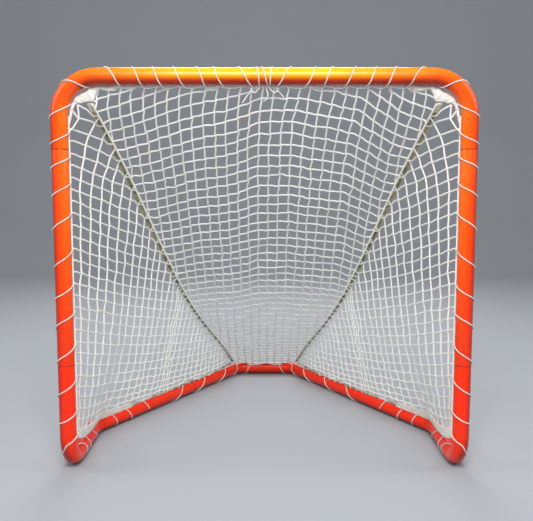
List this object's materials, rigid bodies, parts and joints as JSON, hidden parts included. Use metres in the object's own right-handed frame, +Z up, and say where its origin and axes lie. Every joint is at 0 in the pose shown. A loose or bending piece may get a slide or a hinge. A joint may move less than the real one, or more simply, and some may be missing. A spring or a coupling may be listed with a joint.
{
  "type": "lacrosse goal",
  "caption": "Lacrosse goal of orange powder-coated steel tube with rounded corners, a tapering floor frame and a sloping white net laced on with cord.",
  "frame": {"origin": "on the ground, under the middle of the goal's bounding box", "axes": "+X along the goal line, to the right of someone who faces the mouth; +Y back into the goal; +Z up"},
  "size_m": [1.3366, 1.3006, 1.2962],
  "materials": {
    "orange_paint": "glossy powder coat",
    "screw_zinc": "zinc-plated",
    "net_cord": "matt braided cord",
    "lacing_cord": "matt braided cord",
    "seam_webbing": "woven tape",
    "white_cloth": "woven cloth"
  },
  "bodies": {
    "root": {"crossbar": "orange_paint", "left_post": "orange_paint", "right_post": "orange_paint", "left_base_corner": "orange_paint", "right_base_corner": "orange_paint", "left_base_rail": "orange_paint", "right_base_rail": "orange_paint", "rear_bar": "orange_paint", "left_upper_joint_screw": "screw_zinc", "right_upper_joint_screw": "screw_zinc", "left_lower_joint_screw": "screw_zinc", "right_lower_joint_screw": "screw_zinc", "left_front_joint_screw": "screw_zinc", "right_front_joint_screw": "screw_zinc", "left_rear_joint_screw": "screw_zinc", "right_rear_joint_screw": "screw_zinc", "back_net": "net_cord", "left_side_net": "net_cord", "right_side_net": "net_cord", "left_seam_tape": "seam_webbing", "right_seam_tape": "seam_webbing", "left_corner_patch": "white_cloth", "right_corner_patch": "white_cloth", "left_foot_cuff": "white_cloth", "right_foot_cuff": "white_cloth", "rear_binding": "white_cloth", "left_crossbar_lacing": "lacing_cord", "right_crossbar_lacing": "lacing_cord", "left_post_lacing": "lacing_cord", "right_post_lacing": "lacing_cord", "left_rear_lacing": "lacing_cord", "right_rear_lacing": "lacing_cord"}
  },
  "joints": []
}
